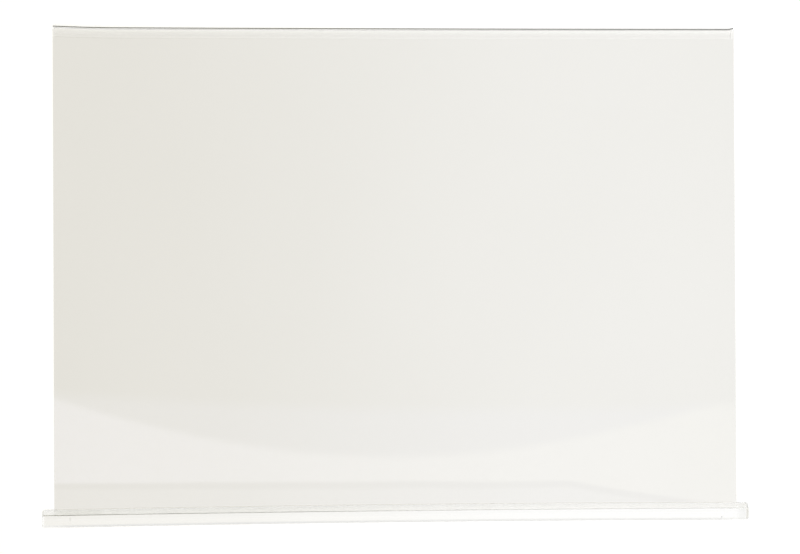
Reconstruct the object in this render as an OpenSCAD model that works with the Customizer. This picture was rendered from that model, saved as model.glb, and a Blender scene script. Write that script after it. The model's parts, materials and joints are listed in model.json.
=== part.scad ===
// Hanging buffet sneeze guard.
// A flat clear acrylic sheet is heat-formed at the top into a hook that hangs on a round rail.
// Its lower edge is cemented into a slotted round acrylic rod, which stiffens and weights it.
// Frame: the rail's axis is the X axis, the front of the sheet faces -Y, and Z is up.

/* [Sheet] */
// Width of the sheet along the rail
sheet_w = 610; // [300:1:1200]
// Thickness of the sheet
sheet_t = 3; // [2:0.1:6]
// Height from the underside of the rod to the crown of the hook
guard_h = 446; // [250:1:700]

/* [Hook] */
// Inner radius of the bend, which takes a 9.5 mm rail with a little clearance
hook_r = 5; // [3:0.1:12]
// How far the rear leg reaches below the rail's axis
leg_drop = 2.5; // [1:0.1:20]

/* [Rod] */
// Diameter of the rod
rod_d = 15.9; // [10:0.1:25]
// How far the rod stands past the sheet at each side
rod_overhang = 9.5; // [0:0.5:30]
// Depth of the slot, measured from the crown of the rod
slot_depth = 5.9; // [2:0.1:7]
// Gap between the sheet and each wall of the slot
slot_gap = 0.1; // [0.05:0.05:0.3]
// Chamfer that breaks the edge of each end of the rod
rod_chamfer = 0.8; // [0.1:0.1:1]

/* [Cement] */
// Radius of the hollow face of the cement bead between the sheet and the rod
bead_r = 0.7; // [0.6:0.1:2]
// How far that face's circle reaches into the sheet and into the rod, which gives the bead sharp edges
bead_bite = 0.03; // [0.01:0.01:0.1]

/* [Hidden] */
$fn = 256;

hook_outer_r = hook_r + sheet_t;
sheet_mid_y = -(hook_r + sheet_t / 2);
rod_r = rod_d / 2;
rod_l = sheet_w + 2 * rod_overhang;
rod_z = hook_outer_r - guard_h + rod_r;
slot_w = sheet_t + 2 * slot_gap;
slot_floor_z = rod_z + rod_r - slot_depth;
// The hollow face's centre lies this far from the sheet's face and from the round of the rod
bead_reach = bead_r - bead_bite;
bead_z = rod_z + sqrt(pow(rod_r + bead_reach, 2) - pow(sheet_t / 2 + bead_reach, 2));
// Width of a bead, out to the point where its hollow face meets the rod
bead_w = (sheet_t / 2 + bead_reach) * rod_r / (rod_r + bead_reach) - sheet_t / 2;

// Extrudes an outline along X. Its first coordinate becomes Y and its second Z.
module along_x(length) {
    rotate([90, 0, 90]) translate([0, 0, -length / 2]) linear_extrude(length) children();
}

// One leg of the hook: a strip of sheet that hangs from the bend down to bottom_z.
module leg(mid_y, bottom_z) {
    translate([mid_y - sheet_t / 2, bottom_z]) square([sheet_t, -bottom_z]);
}

// The half round of the hook, over the top of the rail.
module bend() {
    difference() {
        circle(hook_outer_r);
        circle(hook_r);
        translate([-2 * hook_outer_r, -4 * hook_outer_r]) square(4 * hook_outer_r);
    }
}

// The sheet and its hook are one piece, bent from a flat sheet.
module shield_panel() {
    color([0.88, 0.9, 0.86, 0.45])
    along_x(sheet_w) {
        leg(sheet_mid_y, slot_floor_z);
        bend();
        leg(-sheet_mid_y, -leg_drop);
    }
}

// Round bar along X with a chamfer on both ends, centred on the sheet.
module round_bar() {
    translate([0, sheet_mid_y, rod_z])
    rotate([0, 90, 0])
    rotate_extrude() polygon([
        [0, -rod_l / 2],
        [rod_r - rod_chamfer, -rod_l / 2],
        [rod_r, -rod_l / 2 + rod_chamfer],
        [rod_r, rod_l / 2 - rod_chamfer],
        [rod_r - rod_chamfer, rod_l / 2],
        [0, rod_l / 2]
    ]);
}

// The slot runs out through both ends of the rod.
module base_rod() {
    color([0.8, 0.88, 0.88, 0.6])
    difference() {
        round_bar();
        translate([-rod_l, sheet_mid_y - slot_w / 2, slot_floor_z])
            cube([2 * rod_l, slot_w, 2 * slot_depth]);
    }
}

// Round bar along X, longer than the sheet is wide, for cutting.
module cutter(y, z, r) {
    translate([-sheet_w, y, z]) rotate([0, 90, 0]) cylinder(r = r, h = 2 * sheet_w);
}

// A hollow-faced bead along the corner between the sheet and the round of the rod.
// side is -1 for the front of the sheet and 1 for its rear.
module cement_bead(side) {
    face_y = sheet_mid_y + side * sheet_t / 2;
    color([0.95, 0.93, 0.8, 0.7])
    difference() {
        translate([-sheet_w / 2, min(face_y, face_y + side * bead_w), rod_z])
            cube([sheet_w, bead_w, bead_z - rod_z]);
        cutter(face_y + side * bead_reach, bead_z, bead_r);
        cutter(sheet_mid_y, rod_z, rod_r);
    }
}

module cement_bead_front() {
    cement_bead(-1);
}

module cement_bead_rear() {
    cement_bead(1);
}

shield_panel();
base_rod();
cement_bead_front();
cement_bead_rear();
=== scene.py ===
"""A hanging acrylic sneeze guard: a clear sheet, hooked along its top, in a slotted rod along its foot."""

import json
import math

import bmesh
import bpy
from mathutils import Matrix, Vector, noise


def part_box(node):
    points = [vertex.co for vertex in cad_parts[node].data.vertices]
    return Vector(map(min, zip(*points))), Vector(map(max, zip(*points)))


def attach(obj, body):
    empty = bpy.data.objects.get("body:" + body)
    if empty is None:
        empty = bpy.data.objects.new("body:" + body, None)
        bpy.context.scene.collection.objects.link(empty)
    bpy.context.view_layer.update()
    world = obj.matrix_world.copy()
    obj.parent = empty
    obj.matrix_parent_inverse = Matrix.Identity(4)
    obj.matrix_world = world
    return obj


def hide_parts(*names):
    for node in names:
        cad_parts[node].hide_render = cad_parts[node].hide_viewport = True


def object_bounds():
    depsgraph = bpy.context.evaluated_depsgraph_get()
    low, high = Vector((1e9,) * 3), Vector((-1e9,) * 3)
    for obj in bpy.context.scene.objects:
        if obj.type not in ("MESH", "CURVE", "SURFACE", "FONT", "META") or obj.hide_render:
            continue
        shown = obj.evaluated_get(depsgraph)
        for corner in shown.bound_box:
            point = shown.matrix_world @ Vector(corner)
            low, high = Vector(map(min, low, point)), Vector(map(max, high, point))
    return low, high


MM = 0.001

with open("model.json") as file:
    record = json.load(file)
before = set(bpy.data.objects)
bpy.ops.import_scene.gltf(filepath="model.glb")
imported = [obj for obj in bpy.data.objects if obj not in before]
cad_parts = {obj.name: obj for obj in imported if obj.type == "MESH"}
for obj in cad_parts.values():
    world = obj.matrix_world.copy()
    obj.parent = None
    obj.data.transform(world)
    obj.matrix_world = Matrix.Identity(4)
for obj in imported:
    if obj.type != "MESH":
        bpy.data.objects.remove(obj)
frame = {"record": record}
cad_low, cad_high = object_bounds()
middle = (cad_low + cad_high) / 2

# ---------------------------------------------------------------- sizes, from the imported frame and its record
mounts = {m["name"]: m for m in frame["record"]["mounts"]}
sheet_low, sheet_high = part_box("shield_panel")
rod_low, rod_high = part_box("base_rod")
HOOK_INNER_R = mounts["rail_hook"]["dims"]["r_mm"] * MM
HOOK_OUTER_R = -sheet_low.y
SHEET_T = HOOK_OUTER_R - HOOK_INNER_R
SHEET_MID_Y = -(HOOK_INNER_R + SHEET_T / 2)
SHEET_HALF_W = sheet_high.x
FOOT_Z = sheet_low.z
LEG_DROP = 2.5 * MM
ROD_R = (rod_high.y - rod_low.y) / 2
ROD_Z = rod_low.z + ROD_R
ROD_HALF_L = rod_high.x
SLOT_GAP = 0.1 * MM
LIP_Z = ROD_Z + math.sqrt(ROD_R ** 2 - (SHEET_T / 2 + SLOT_GAP) ** 2)
BEAD_R = 0.7 * MM

# Small things the CAD leaves out: broken edges, and clearances between clear faces.
ARRIS = 0.2 * MM
END_ROUND = 0.3 * MM
LIP = 0.12 * MM
CLEAR = 0.02 * MM
SLOT_CORNER = 0.3 * MM
# The slot's mouth widens by this share of the rounding at the rod's ends.
SLOT_FLARE = 0.3
# The share of a bead's radius that stands clear of rod and sheet, so that its thin edges have some body.
BEAD_STANDS = 0.97
BEAD_END_GAP = 0.5 * MM
BEAD_TAPER = 4 * MM
BEAD_END_SIZE = 0.55
BEAD_SIZE = 0.94
# Wander of a bead's size: how much, how often per metre, and the row of the noise.
BEAD_WANDER = ((0.08, 30, 7.0, 0.5), (0.02, 120, 3.0, 2.5))

# How the parts have settled out of true.
ROD_BOW = 1.35 * MM
BOW_FROM_Z = -250 * MM
CROWN_SAG = 0.4 * MM
CROWN_REACH = 20 * MM
FLARE_LEFT = (1.25 * MM, 60 * MM)
FLARE_RIGHT = (0.8 * MM, 6 * MM)
PANEL_BULGE = 0.6 * MM
BULGE_FROM_Z = -12 * MM
SLOT_SAG = 0.3 * MM
SLOT_FLOOR_BAND = (-0.1 * MM, 0.35 * MM)

# Faces as square to an axis as this count as flat, or as the end of a piece.
FLAT = 0.99
END_ON = 0.95
SHARP_EDGE = math.radians(22)

# ---------------------------------------------------------------- looks
# A tint is the share of light that a clear face lets through.
IOR = 1.49
SHEET_TINT = (0.765, 0.757, 0.729)
SHEET_TINT_DEEP = (0.755, 0.747, 0.717)
EDGE_TINT = (0.7, 0.745, 0.715)
EDGE_TINT_DEEP = (0.62, 0.67, 0.64)
ROD_TINT = (0.875, 0.873, 0.862)
ROD_TINT_DEEP = (0.855, 0.853, 0.84)
CUT_TINT = (0.86, 0.88, 0.865)
CUT_TINT_DEEP = (0.78, 0.8, 0.785)
CEMENT_TINT = (0.985, 0.98, 0.965)
CEMENT_TINT_DEEP = (0.97, 0.965, 0.94)

# The bend, by height: a painted highlight that lightens the sheet from the foot of the rear leg up over the
# bend and on the rear leg, and a near-black painted shade line along the crown for its dark edge, olive at the
# left.
BEND_LOW_HIGHLIGHT = (0.805, 0.797, 0.772)
BEND_TOP_HIGHLIGHT = (0.9, 0.895, 0.88)
REAR_LEG_HIGHLIGHT = (0.985, 0.985, 0.98)
LEG_FOOT_HIGHLIGHT = (0.82, 0.813, 0.79)
LEG_FOOT = (-3.0 * MM, -2.0 * MM)
BEND_START = (-4.6 * MM, -4.0 * MM)
BEND_TOP = (0.0, 4.5 * MM)
# Painted shade line along the crown: its fade in and out by height, its fade along the sheet, and its colour at
# left and right.
CROWN_SHADE_IN = (4.3 * MM, 4.55 * MM)
CROWN_SHADE_OUT = (5.35 * MM, 5.6 * MM)
CROWN_SHADE_ALONG = (-0.1, 0.15)
CROWN_SHADE_LEFT = (0.02, 0.018, 0.009)
CROWN_SHADE_RIGHT = (0.008, 0.0078, 0.006)

# The rod's grey right-hand end, and two small marks: centre, half sizes and tint of each.
ROD_END_TINT = (0.8, 0.8, 0.785)
ROD_END_FADE = (-1 * MM, 4 * MM)
MARK_X = 290 * MM
ROD_FRONT_Y = SHEET_MID_Y - ROD_R
ROD_MARKS = (
    ((-MARK_X, ROD_FRONT_Y, ROD_Z + 0.5 * MM), (1.0 * MM, 2.5 * MM, 2.2 * MM), (0.74, 0.74, 0.72)),
    ((MARK_X, ROD_FRONT_Y + 1.2 * MM, ROD_Z - 4.3 * MM), (0.7 * MM, 2.5 * MM, 0.7 * MM), (0.3, 0.3, 0.28)),
)
MARK_EDGE = (0.6, 1.0)

# Every clear face: a cast in its tint, smudges, hair scratches and a slow ripple.
CAST_SCALE, CAST_RANGE = 5.0, (0.3, 0.7)
SMUDGE_SCALE, SMUDGE_RANGE, SMUDGE_DULLS = 22.0, (0.45, 0.75), 0.01
HAIR_SCALE, HAIR_TURN, HAIR_RANGE = (900.0, 900.0, 30.0), (0.3, 0.5, 0.2), (0.68, 0.8)
HAIR_RELIEF = 0.002
RIPPLE_SCALE = 9.0

# The cement in the slot: dry at the left end, wetted in two steps towards the right.
FIRST_WET, FIRST_WET_SHARE = (-0.28, -0.235), 0.4
FULL_WET, FULL_WET_SHARE = (-0.2, 0.12), 0.6
BOND_DRY = (0.944, 0.944, 0.933)
BOND_WET = (0.978, 0.978, 0.977)
BOND_FILM = (0.97, 0.97, 0.965)
FILM_SCALE, FILM_RANGE = 40.0, (0.55, 0.8)
GLUE_DRY = (0.36, 0.35, 0.27)
GLUE_WET = (0.8, 0.8, 0.76)
GLUE_CLEAR = (0.99, 0.99, 0.985, 1.0)
GLUE_ROUGHNESS = 0.5
GLUE_SHOWS_DRY, GLUE_SHOWS_WET = 0.95, 0.3
GLUE_FADE = 0.3 * MM
STREAK_SCALE, STREAK_RANGE, STREAK_STEP = (18.0, 260.0, 260.0), (0.3, 0.7), 0.12

# ---------------------------------------------------------------- the studio
FLOOR_R = 1.25
FLOOR_DROP = 0.31
FLOOR_PALE = (0.9, 0.895, 0.885)
FLOOR_PALER = (0.93, 0.928, 0.92)
FLOOR_GRAIN = 6.0
FLOOR_ROUGHNESS = 0.6
FLOOR_FADE = (0.45, 0.98)

# The light from behind the guard, and above 25 to 31 degrees a little dimmer; then the light from overhead.
BACK_LEFT = (1.062, 1.045, 1.0)
BACK_RIGHT = (1.18, 1.18, 1.18)
BACK_SIDEWAYS = (-0.2, 0.2)
BACK_HIGH_LEFT = (0.975, 0.97, 0.955)
BACK_HIGH_RIGHT = (1.08, 1.08, 1.07)
BACK_HIGH_IN = (math.sin(math.radians(25.0)), math.sin(math.radians(31.0)))
TOP_LIGHT = (1.15, 1.15, 1.14)
TOP_LIGHT_IN = (0.80, 0.88)
# Where the room in front gives way to the light from behind, far round at the sides.
FRONT_TO_BACK = (-0.8, -0.55)

# The room in front: dim above, and below a low edge a paler wall with a bright arch and a bench in it.
FRONT_LEFT = (0.42, 0.42, 0.41)
FRONT_RIGHT = (0.72, 0.72, 0.71)
FRONT_SIDEWAYS = (-0.3, 0.3)
FRONT_LOW = (0.78, 0.8, 0.98)
FRONT_FAR = (0.98, 0.98, 0.97)
LOW_REACH = (0.27, 0.33)
ARCH_LEFT = (1.6, 1.6, 2.05)
ARCH_RIGHT = (1.24, 1.24, 1.2)
BENCH_LINE = (0.6, 0.6, 0.72)
BENCH_FRONT = (1.0, 1.0, 1.15)
# Each soft edge is a parabola: its lowest height, where that is across, and how fast it climbs.
LOW_EDGE, LOW_SOFTNESS = (-0.0797, 0.07, 0.4), 0.005
ARCH_EDGE, ARCH_SOFTNESS = (-0.1044, 0.046, 1.05), 0.003
BENCH_EDGE, BENCH_SOFTNESS = (-0.1161, 0.04, 0.15), 0.0012
BENCH_CORNER, BENCH_SLOPE = 0.1465, 0.165
BENCH_LIP = 0.0032

LAMP_AT = middle + Vector((1.0, 0.3, 1.9))
LAMP_AIM = middle + Vector((0.5, 0.2, 0.0))
LAMP_SIZE = (2.0, 1.4)
LAMP_POWER = 24.0

CAMERA_AZIMUTH = math.radians(-2.82)
CAMERA_ELEVATION = math.radians(-0.40)
CAMERA_ROLL = math.radians(-0.275)
CAMERA_DISTANCE = 1.5202
CAMERA_TARGET = Vector((2.17 * MM, SHEET_MID_Y, middle.z - 2.6 * MM))
LENS = 76.5
SENSOR_WIDTH = 36.0

CLEAR_BOUNCES = 24
GLOSSY_BOUNCES = 12


# ---------------------------------------------------------------- mesh helpers
def spread(low, high, count):
    """count + 1 evenly spaced numbers from low to high."""
    return [low + (high - low) * i / count for i in range(count + 1)]


def ease(t):
    """0 to 1 with a soft start and end, clamped."""
    t = max(0.0, min(1.0, t))
    return t * t * (3 - 2 * t)


def settle(x, y, z):
    """Where a point of the ideal assembly really is.

    The foot bows up, the bend sags, the hook's ends flare, the slot's floor dips and the panel bulges.
    """
    across = 1 - (x / SHEET_HALF_W) ** 2
    lift = ROD_BOW * across * ease((z - BOW_FROM_Z) / (FOOT_Z - BOW_FROM_Z))
    crown = ease((z + CROWN_REACH) / CROWN_REACH)
    lift -= CROWN_SAG * across * crown
    rise, reach = FLARE_LEFT if x < 0 else FLARE_RIGHT
    lift += rise * max(0.0, (abs(x) - SHEET_HALF_W + reach) / reach) ** 2 * crown
    at_floor = SLOT_FLOOR_BAND[0] < z - FOOT_Z < SLOT_FLOOR_BAND[1]
    if at_floor and abs(y - SHEET_MID_Y) < SHEET_T / 2 + 2 * SLOT_GAP:
        lift -= SLOT_SAG * across
    share = (z - BULGE_FROM_Z) / (FOOT_Z - BULGE_FROM_Z)
    forward = PANEL_BULGE * across * math.sin(math.pi * share) ** 2 if 0 < share < 1 else 0.0
    return x, y - forward, z + lift


def skin(name, rings, materials, pick):
    """A closed mesh through rings of points. pick(centre, normal) gives the material number of a face."""
    mesh = bpy.data.meshes.new(name)
    bm = bmesh.new()
    rows = [[bm.verts.new(p) for p in ring] for ring in rings]
    for a, b in zip(rows, rows[1:]):
        for i in range(len(a)):
            j = (i + 1) % len(a)
            bm.faces.new((a[i], a[j], b[j], b[i]))
    caps = [bm.faces.new(rows[0]), bm.faces.new(rows[-1])]
    bmesh.ops.triangulate(bm, faces=caps)
    bmesh.ops.recalc_face_normals(bm, faces=bm.faces)
    for face in bm.faces:
        face.smooth = True
        face.material_index = pick(face.calc_center_median(), face.normal)
    for edge in bm.edges:
        edge.smooth = edge.calc_face_angle(0.0) < SHARP_EDGE
    for vert in bm.verts:
        vert.co = settle(*vert.co)
    bm.to_mesh(mesh)
    bm.free()
    for material in materials:
        mesh.materials.append(material)
    piece = bpy.data.objects.new(name, mesh)
    bpy.context.scene.collection.objects.link(piece)
    return piece


# ---------------------------------------------------------------- node helpers
def add(tree, kind, values=None, **settings):
    """A shader node. values gives its sockets' constants or the sockets that feed them."""
    made = tree.nodes.new("ShaderNode" + kind)
    for name, value in settings.items():
        setattr(made, name, value)
    for key, value in (values or {}).items():
        if isinstance(value, bpy.types.NodeSocket):
            tree.links.new(value, made.inputs[key])
        else:
            made.inputs[key].default_value = value
    return made


def math_node(tree, operation, a, b=0.0, clamp=False):
    return add(tree, "Math", {0: a, 1: b}, operation=operation, use_clamp=clamp).outputs[0]


def remap(tree, value, low, high, to_low=0.0, to_high=1.0, smooth=True):
    """value from the range low to high onto the range to_low to to_high, clamped."""
    kind = "SMOOTHSTEP" if smooth else "LINEAR"
    values = {"Value": value, "From Min": low, "From Max": high, "To Min": to_low, "To Max": to_high}
    return add(tree, "MapRange", values, interpolation_type=kind, clamp=True).outputs[0]


def mix(tree, factor, a, b):
    """Mixes two colours, each a tuple or a socket."""
    made = tree.nodes.new("ShaderNodeMix")
    made.data_type = "RGBA"
    for key, value in ((0, factor), (6, a), (7, b)):
        if isinstance(value, bpy.types.NodeSocket):
            tree.links.new(value, made.inputs[key])
        else:
            made.inputs[key].default_value = (*value, 1.0) if isinstance(value, tuple) else value
    return made.outputs[2]


def new_material(name):
    """An empty material, its node tree, and a socket with the place on the piece in metres."""
    material = bpy.data.materials.new(name)
    material.use_nodes = True
    tree = material.node_tree
    tree.nodes.clear()
    return material, tree, add(tree, "TexCoord").outputs["Object"]


# ---------------------------------------------------------------- materials
def rise_of(tree, place):
    """The height of a point of the sheet before it settled, so that a line at one height follows the bend."""
    along, _, up = add(tree, "SeparateXYZ", {0: place}).outputs
    square = math_node(tree, "POWER", math_node(tree, "DIVIDE", along, SHEET_HALF_W), 2.0)
    sag = math_node(tree, "MULTIPLY", math_node(tree, "SUBTRACT", 1.0, square), CROWN_SAG)
    rise = math_node(tree, "ADD", up, sag)
    for way, (flare, reach) in ((-1.0, FLARE_LEFT), (1.0, FLARE_RIGHT)):
        out = math_node(tree, "MULTIPLY", along, way)
        into = remap(tree, out, SHEET_HALF_W - reach, SHEET_HALF_W, smooth=False)
        lift = math_node(tree, "MULTIPLY", math_node(tree, "POWER", into, 2.0), flare)
        rise = math_node(tree, "SUBTRACT", rise, lift)
    return rise


def bend_painted_light(tree, place, sheet_colour):
    """The sheet's tint over the bend: a painted highlight lightening it towards the crown and over the rear
    leg, with a painted shade line along the crown.
    """
    rise = rise_of(tree, place)
    along, depth, _ = add(tree, "SeparateXYZ", {0: place}).outputs
    # Painted highlight: the sheet grows lighter from the foot of the rear leg up over the bend, and the rear
    # leg is lighter still.
    low = mix(tree, remap(tree, rise, *LEG_FOOT, 1.0, 0.0), BEND_LOW_HIGHLIGHT, LEG_FOOT_HIGHLIGHT)
    low = mix(tree, remap(tree, rise, *BEND_START), sheet_colour, low)
    high = mix(tree, remap(tree, rise, *BEND_TOP, smooth=False), low, BEND_TOP_HIGHLIGHT)
    # Painted shade: a near-black line along the crown, olive at the left, for the bend's dark edge.
    shade_in = remap(tree, rise, *CROWN_SHADE_IN)
    shade_out = remap(tree, rise, *CROWN_SHADE_OUT, 1.0, 0.0)
    crown_shade = mix(tree, remap(tree, along, *CROWN_SHADE_ALONG), CROWN_SHADE_LEFT, CROWN_SHADE_RIGHT)
    front = mix(tree, math_node(tree, "MULTIPLY", shade_in, shade_out), high, crown_shade)
    return mix(tree, math_node(tree, "GREATER_THAN", depth, 0.0), front, REAR_LEG_HIGHLIGHT)


def rod_colour(tree, place, colour):
    """The rod's tint: a little greyer beyond the sheet on the right, with a small mark near each end."""
    along = add(tree, "SeparateXYZ", {0: place}).outputs[0]
    end = remap(tree, along, SHEET_HALF_W + ROD_END_FADE[0], SHEET_HALF_W + ROD_END_FADE[1])
    colour = mix(tree, end, colour, ROD_END_TINT)
    for centre, size, mark_tint in ROD_MARKS:
        off = add(tree, "VectorMath", {0: place, 1: centre}, operation="SUBTRACT").outputs[0]
        shape = add(tree, "VectorMath", {0: off, 1: size}, operation="DIVIDE").outputs[0]
        reach = add(tree, "VectorMath", {0: shape}, operation="LENGTH").outputs["Value"]
        colour = mix(tree, remap(tree, reach, *MARK_EDGE, 1.0, 0.0), colour, mark_tint)
    return colour


def acrylic(name, tint, deep_tint, roughness, waviness, scratches=0.0, tinting=None):
    """Clear acrylic: an uneven tint, smudges and fine scratches in its gloss, and a slow ripple."""
    material, tree, place = new_material(name)

    cast = add(tree, "TexNoise", {"Vector": place, "Scale": CAST_SCALE, "Detail": 2.0}).outputs["Fac"]
    colour = mix(tree, remap(tree, cast, *CAST_RANGE, smooth=False), tint, deep_tint)
    if tinting:
        colour = tinting(tree, place, colour)

    values = {"Vector": place, "Scale": SMUDGE_SCALE, "Detail": 5.0, "Roughness": 0.6}
    smudge = add(tree, "TexNoise", values).outputs["Fac"]
    gloss = remap(tree, smudge, *SMUDGE_RANGE, roughness, roughness + SMUDGE_DULLS)

    values = {"Vector": place, "Scale": HAIR_SCALE, "Rotation": HAIR_TURN}
    hair_place = add(tree, "Mapping", values).outputs[0]
    values = {"Vector": hair_place, "Scale": 1.0, "Detail": 3.0, "Roughness": 0.7}
    hairs = add(tree, "TexNoise", values).outputs["Fac"]
    gloss = math_node(tree, "ADD", gloss, remap(tree, hairs, *HAIR_RANGE, 0.0, scratches))

    ripple = add(tree, "TexNoise", {"Vector": place, "Scale": RIPPLE_SCALE, "Detail": 1.0}).outputs["Fac"]
    height = math_node(tree, "ADD", ripple, math_node(tree, "MULTIPLY", hairs, HAIR_RELIEF))
    bump = add(tree, "Bump", {"Strength": 1.0, "Distance": waviness, "Height": height}).outputs[0]

    shader = add(tree, "BsdfPrincipled", {
        "Base Color": colour, "Roughness": gloss, "IOR": IOR, "Transmission Weight": 1.0, "Normal": bump})
    add(tree, "OutputMaterial", {"Surface": shader.outputs[0]})
    return material


def wetting(tree, place):
    """How well cement has wetted the slot: 0 at the dry left end, and 1 from right of the middle onwards."""
    along = add(tree, "SeparateXYZ", {0: place}).outputs[0]
    first = remap(tree, along, *FIRST_WET, 0.0, FIRST_WET_SHARE)
    return math_node(tree, "ADD", first, remap(tree, along, *FULL_WET, 0.0, FULL_WET_SHARE))


def bonded(name):
    """Two clear faces joined by clear cement: light passes without bending, and takes only the tint."""
    material, tree, place = new_material(name)
    film = add(tree, "TexNoise", {"Vector": place, "Scale": FILM_SCALE, "Detail": 2.0}).outputs["Fac"]
    colour = mix(tree, wetting(tree, place), BOND_DRY, BOND_WET)
    colour = mix(tree, remap(tree, film, *FILM_RANGE, smooth=False), colour, BOND_FILM)
    through = add(tree, "BsdfTransparent", {"Color": colour}).outputs[0]
    add(tree, "OutputMaterial", {"Surface": through})
    return material


def glue_line(name):
    """The slot's sawn floor under uneven cement: dry and dull at the left, nearly clear at the right."""
    material, tree, place = new_material(name)
    depth = add(tree, "SeparateXYZ", {0: place}).outputs[1]
    streak_place = add(tree, "Mapping", {"Vector": place, "Scale": STREAK_SCALE}).outputs[0]
    streak = add(tree, "TexNoise", {"Vector": streak_place, "Scale": 1.0, "Detail": 3.0}).outputs["Fac"]
    step = remap(tree, streak, *STREAK_RANGE, -STREAK_STEP, STREAK_STEP, smooth=False)
    wetted = math_node(tree, "ADD", wetting(tree, place), step, clamp=True)
    colour = mix(tree, wetted, GLUE_DRY, GLUE_WET)
    shader = add(tree, "BsdfPrincipled", {
        "Base Color": colour, "Roughness": GLUE_ROUGHNESS, "IOR": IOR}).outputs[0]
    clear = add(tree, "BsdfTransparent", {"Color": GLUE_CLEAR}).outputs[0]
    front = remap(tree, depth, SHEET_MID_Y - GLUE_FADE, SHEET_MID_Y + GLUE_FADE, 1.0, 0.0)
    shows = remap(tree, wetted, 0.0, 1.0, GLUE_SHOWS_DRY, GLUE_SHOWS_WET, smooth=False)
    share = math_node(tree, "SUBTRACT", 1.0, math_node(tree, "MULTIPLY", front, shows))
    blended = add(tree, "MixShader", {0: share, 1: shader, 2: clear}).outputs[0]
    add(tree, "OutputMaterial", {"Surface": blended})
    return material


def floor_material():
    """Pale matt studio floor that fades out into the backdrop's light towards its rim."""
    material, tree, place = new_material("pale_floor")
    grain = add(tree, "TexNoise", {"Vector": place, "Scale": FLOOR_GRAIN, "Detail": 4.0}).outputs["Fac"]
    colour = mix(tree, grain, FLOOR_PALE, FLOOR_PALER)
    matt = add(tree, "BsdfDiffuse", {"Color": colour, "Roughness": FLOOR_ROUGHNESS}).outputs[0]
    clear = add(tree, "BsdfTransparent").outputs[0]
    reach = add(tree, "VectorMath", {0: place}, operation="LENGTH").outputs["Value"]
    fade = remap(tree, reach, FLOOR_R * FLOOR_FADE[0], FLOOR_R * FLOOR_FADE[1])
    blended = add(tree, "MixShader", {0: fade, 1: matt, 2: clear}).outputs[0]
    add(tree, "OutputMaterial", {"Surface": blended})
    return material


# ---------------------------------------------------------------- the sheet and its hook
def sheet_line():
    """Points along the middle of the sheet's thickness: up from its foot, over the bend, down the rear leg.

    Each is y, z, and then the y and z of the way that the sheet's outer face looks there.
    """
    foot = [FOOT_Z + CLEAR, FOOT_Z + CLEAR + ARRIS, LIP_Z]
    front = spread(LIP_Z + 1.5 * MM, -6 * MM, 56) + [-3 * MM, -0.6 * MM]
    line = [(SHEET_MID_Y, z, -1.0, 0.0) for z in foot + front]
    for angle in spread(math.pi, 0.0, 72):
        way = (math.cos(angle), math.sin(angle))
        line.append((-SHEET_MID_Y * way[0], -SHEET_MID_Y * way[1], *way))
    line += [(-SHEET_MID_Y, z, 1.0, 0.0) for z in (-0.6 * MM, ARRIS - LEG_DROP, -LEG_DROP)]
    return line


def sheet_ring(x, inset):
    """The sheet's outline at x, drawn in by inset where its side edge is broken."""
    line = sheet_line()
    last = len(line) - 1
    front, rear = [], []
    for i, (y, z, ny, nz) in enumerate(line):
        half = SHEET_T / 2 - inset
        if i in (0, last):
            half -= ARRIS
            z += inset
        front.append((x, y + ny * half, z + nz * half))
        rear.append((x, y - ny * half, z - nz * half))
    return front + rear[::-1]


def make_sheet():
    side = 18 * MM
    near = spread(1.5 * MM, side, 11)
    stations = [(-SHEET_HALF_W, ARRIS), (-SHEET_HALF_W + ARRIS, 0.0)]
    stations += [(x - SHEET_HALF_W, 0.0) for x in near]
    stations += [(x, 0.0) for x in spread(-SHEET_HALF_W + side, SHEET_HALF_W - side, 64)[1:-1]]
    stations += [(SHEET_HALF_W - x, 0.0) for x in near[::-1]]
    stations += [(SHEET_HALF_W - ARRIS, 0.0), (SHEET_HALF_W, ARRIS)]
    materials = (
        acrylic("sheet_face", SHEET_TINT, SHEET_TINT_DEEP, 0.0, 0.02 * MM, 0.03, tinting=bend_painted_light),
        acrylic("sheet_edge", EDGE_TINT, EDGE_TINT_DEEP, 0.03, 0.03 * MM, 0.08),
        bonded("sheet_in_slot"),
        glue_line("sheet_foot"),
    )
    face, edge, joint, foot = range(len(materials))

    def pick(centre, normal):
        at_side = abs(centre.x) > SHEET_HALF_W - ARRIS
        at_rim = at_side and abs(normal.x) < END_ON
        at_leg_end = centre.y > 0 and centre.z < ARRIS - LEG_DROP
        if normal.z < -FLAT and centre.z < LIP_Z:
            return foot
        if at_leg_end or at_rim:
            return joint
        if at_side:
            return edge
        return joint if centre.z < LIP_Z else face

    return skin("clear_sheet", [sheet_ring(x, inset) for x, inset in stations], materials, pick)


# ---------------------------------------------------------------- the slotted rod
def rod_ring(x, inset):
    """The rod's outline at x: round from one lip of the slot to the other, then down and up the slot."""
    radius = ROD_R - inset
    half = SHEET_T / 2 + SLOT_GAP + inset * SLOT_FLARE
    start = math.asin((half + LIP) / radius)
    ring = []
    for angle in spread(start, 2 * math.pi - start, 160):
        ring.append((x, SHEET_MID_Y + radius * math.sin(angle), ROD_Z + radius * math.cos(angle)))
    lip_z = ring[0][2] - LIP
    wall = spread(lip_z, FOOT_Z + SLOT_CORNER, 4) + [FOOT_Z]
    ring += [(x, SHEET_MID_Y - half, z) for z in wall]
    ring += [(x, SHEET_MID_Y + share * half, FOOT_Z) for share in (-0.6, 0.0, 0.6)]
    ring += [(x, SHEET_MID_Y + half, z) for z in wall[::-1]]
    return ring


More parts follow.
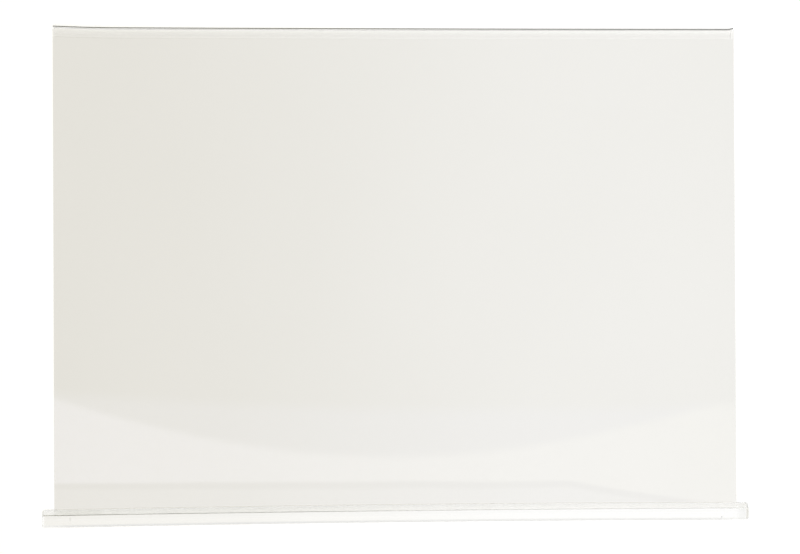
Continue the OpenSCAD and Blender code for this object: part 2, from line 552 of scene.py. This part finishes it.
def make_rod():
    turns = [math.radians(a) for a in (90, 68, 45, 22, 0)]
    end = [(END_ROUND * (1 - math.sin(a)), END_ROUND * (1 - math.cos(a))) for a in turns]
    end += [(2 * MM, 0.0), (4 * MM, 0.0), (7 * MM, 0.0)]
    stations = [(x - ROD_HALF_L, inset) for x, inset in end]
    stations += [(x, 0.0) for x in spread(-SHEET_HALF_W, SHEET_HALF_W, 80)]
    stations += [(ROD_HALF_L - x, inset) for x, inset in end[::-1]]
    materials = (
        acrylic("rod_face", ROD_TINT, ROD_TINT_DEEP, 0.0, 0.02 * MM, 0.03, tinting=rod_colour),
        acrylic("rod_cut", CUT_TINT, CUT_TINT_DEEP, 0.06, 0.04 * MM, 0.1),
        bonded("rod_round_sheet"),
        glue_line("rod_slot_floor"),
    )
    face, cut, joint, slot_floor = range(len(materials))

    def pick(centre, normal):
        off = abs(centre.y - SHEET_MID_Y)
        in_slot = off < SHEET_T / 2 + SLOT_GAP + LIP and centre.z > ROD_Z
        if in_slot and abs(normal.z) > FLAT:
            return slot_floor
        if in_slot and abs(normal.y) > FLAT:
            return joint
        if abs(centre.x) > ROD_HALF_L - END_ROUND:
            return cut if abs(normal.x) > END_ON else joint
        return cut if in_slot else face

    return skin("clear_rod", [rod_ring(x, inset) for x, inset in stations], materials, pick)


# ---------------------------------------------------------------- the cement beads
def bead_ring(x, side, size):
    """A bead's outline at x, in front (-1) or behind (1): out along the rod and back over its hollow face."""
    radius = BEAD_R * size
    wall = SHEET_T / 2 + CLEAR
    seat = ROD_R + CLEAR
    centre_off = wall + radius * BEAD_STANDS
    centre_up = math.sqrt((seat + radius * BEAD_STANDS) ** 2 - centre_off ** 2)
    toe = centre_off * seat / (seat + radius * BEAD_STANDS)
    bottom = [(off, math.sqrt(seat ** 2 - off ** 2)) for off in spread(wall, toe, 4)]
    low = math.atan2(bottom[-1][1] - centre_up, bottom[-1][0] - centre_off)
    high = -math.pi + math.acos(BEAD_STANDS)
    hollow = []
    for angle in spread(low, high, 8)[1:]:
        hollow.append((centre_off + radius * math.cos(angle), centre_up + radius * math.sin(angle)))
    hollow[-1] = (wall, hollow[-1][1])
    return [(x, SHEET_MID_Y + side * off, ROD_Z + up) for off, up in bottom + hollow]


def make_bead(name, side):
    rings = []
    for x in spread(BEAD_END_GAP - SHEET_HALF_W, SHEET_HALF_W - BEAD_END_GAP, 260):
        wander = sum(much * noise.noise(Vector((x * often, side * row, start)))
                     for much, often, row, start in BEAD_WANDER)
        taper = BEAD_END_SIZE + (1 - BEAD_END_SIZE) * ease((SHEET_HALF_W - abs(x)) / BEAD_TAPER)
        rings.append(bead_ring(x, side, (BEAD_SIZE + wander) * taper))
    wet = acrylic(name + "_gloss", CEMENT_TINT, CEMENT_TINT_DEEP, 0.02, 0.01 * MM)
    return skin(name, rings, (wet,), lambda centre, normal: 0)


# ---------------------------------------------------------------- floor, backdrop light, lamp, camera
def make_floor():
    mesh = bpy.data.meshes.new("floor")
    bm = bmesh.new()
    bmesh.ops.create_circle(bm, cap_ends=True, segments=96, radius=FLOOR_R)
    bm.to_mesh(mesh)
    bm.free()
    mesh.materials.append(floor_material())
    floor = bpy.data.objects.new("floor", mesh)
    floor.location = (0.0, 0.0, cad_low.z - FLOOR_DROP)
    bpy.context.scene.collection.objects.link(floor)


def room_edge(tree, across, low, centre, climb):
    """Height of a soft edge in the room, a parabola over the bearing across."""
    away = math_node(tree, "ABSOLUTE", math_node(tree, "SUBTRACT", across, centre))
    climbed = math_node(tree, "MULTIPLY", math_node(tree, "POWER", away, 2.0), climb)
    return math_node(tree, "ADD", climbed, low)


def below(tree, up, edge, softness):
    """1 under the edge and 0 over it, easing over softness each way."""
    return remap(tree, math_node(tree, "SUBTRACT", up, edge), softness, -softness)


def room_in_front(tree, across, up):
    """The colour of the room that the guard's faces mirror."""
    sideways = remap(tree, across, *FRONT_SIDEWAYS)
    high = mix(tree, sideways, FRONT_LEFT, FRONT_RIGHT)
    near_middle = remap(tree, math_node(tree, "ABSOLUTE", across), *LOW_REACH, 1.0, 0.0)

    bench = room_edge(tree, across, *BENCH_EDGE)
    past_corner = math_node(tree, "MAXIMUM", math_node(tree, "SUBTRACT", across, BENCH_CORNER), 0.0)
    bench = math_node(tree, "SUBTRACT", bench, math_node(tree, "MULTIPLY", past_corner, BENCH_SLOPE))
    under_bench = below(tree, up, bench, BENCH_SOFTNESS)
    under_lip = below(tree, up, math_node(tree, "SUBTRACT", bench, BENCH_LIP), BENCH_SOFTNESS)
    under_arch = below(tree, up, room_edge(tree, across, *ARCH_EDGE), ARCH_SOFTNESS)
    under_low = below(tree, up, room_edge(tree, across, *LOW_EDGE), LOW_SOFTNESS)

    low = mix(tree, near_middle, FRONT_FAR, FRONT_LOW)
    arch_colour = mix(tree, sideways, ARCH_LEFT, ARCH_RIGHT)
    low = mix(tree, math_node(tree, "MULTIPLY", under_arch, near_middle), low, arch_colour)
    bench_colour = mix(tree, under_lip, BENCH_LINE, BENCH_FRONT)
    low = mix(tree, math_node(tree, "MULTIPLY", under_bench, near_middle), low, bench_colour)
    return mix(tree, under_low, high, low)


def make_backdrop():
    """Soft light all round: white behind, a darker room in front, and brighter to the right."""
    world = bpy.data.worlds.new("studio")
    world.use_nodes = True
    bpy.context.scene.world = world
    tree = world.node_tree
    tree.nodes.clear()
    way = add(tree, "TexCoord").outputs["Generated"]
    across, along, up = add(tree, "SeparateXYZ", {0: way}).outputs
    sideways = remap(tree, across, *BACK_SIDEWAYS)
    back = mix(tree, sideways, BACK_LEFT, BACK_RIGHT)
    level = mix(tree, remap(tree, along, *FRONT_TO_BACK), room_in_front(tree, across, up), back)
    behind = math_node(tree, "GREATER_THAN", along, 0.0)
    raised = math_node(tree, "MULTIPLY", behind, remap(tree, up, *BACK_HIGH_IN))
    level = mix(tree, raised, level, mix(tree, sideways, BACK_HIGH_LEFT, BACK_HIGH_RIGHT))
    colour = mix(tree, remap(tree, up, *TOP_LIGHT_IN, smooth=False), level, TOP_LIGHT)
    light = add(tree, "Background", {"Color": colour, "Strength": 1.0}).outputs[0]
    add(tree, "OutputWorld", {"Surface": light})


def make_lamp():
    data = bpy.data.lights.new("overhead", "AREA")
    data.shape = "RECTANGLE"
    data.size, data.size_y = LAMP_SIZE
    data.energy = LAMP_POWER
    lamp = bpy.data.objects.new("overhead", data)
    lamp.location = LAMP_AT
    lamp.visible_camera = lamp.visible_glossy = lamp.visible_transmission = False
    lamp.rotation_mode = "QUATERNION"
    lamp.rotation_quaternion = (LAMP_AIM - LAMP_AT).to_track_quat("-Z", "Y")
    bpy.context.scene.collection.objects.link(lamp)


def make_camera():
    a, e, r = CAMERA_AZIMUTH, CAMERA_ELEVATION, CAMERA_ROLL
    back = Vector((math.sin(a) * math.cos(e), -math.cos(a) * math.cos(e), math.sin(e)))
    right = (-back).cross(Vector((0, 0, 1))).normalized()
    up = right.cross(-back)
    rolled_right = right * math.cos(r) + up * math.sin(r)
    rolled_up = up * math.cos(r) - right * math.sin(r)
    data = bpy.data.cameras.new("camera")
    data.lens = LENS
    data.sensor_width = SENSOR_WIDTH
    data.clip_start, data.clip_end = 0.05, 50.0
    camera = bpy.data.objects.new("camera", data)
    place = Matrix((rolled_right, rolled_up, back)).transposed().to_4x4()
    place.translation = CAMERA_TARGET + back * CAMERA_DISTANCE
    camera.matrix_world = place
    bpy.context.scene.collection.objects.link(camera)
    bpy.context.scene.camera = camera


# ---------------------------------------------------------------- the whole scene
for piece, node, slot in (
        (make_sheet(), "shield_panel", "clear_sheet"),
        (make_rod(), "base_rod", "clear_rod"),
        (make_bead("cement_front", -1), "cement_bead_front", "clear_cement"),
        (make_bead("cement_rear", 1), "cement_bead_rear", "clear_cement")):
    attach(piece, "root")
    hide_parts(node)

make_floor()
make_backdrop()
make_lamp()
make_camera()

scene = bpy.context.scene
scene.view_settings.view_transform = "Standard"
scene.cycles.max_bounces = CLEAR_BOUNCES
scene.cycles.transmission_bounces = CLEAR_BOUNCES
scene.cycles.transparent_max_bounces = CLEAR_BOUNCES
scene.cycles.glossy_bounces = GLOSSY_BOUNCES
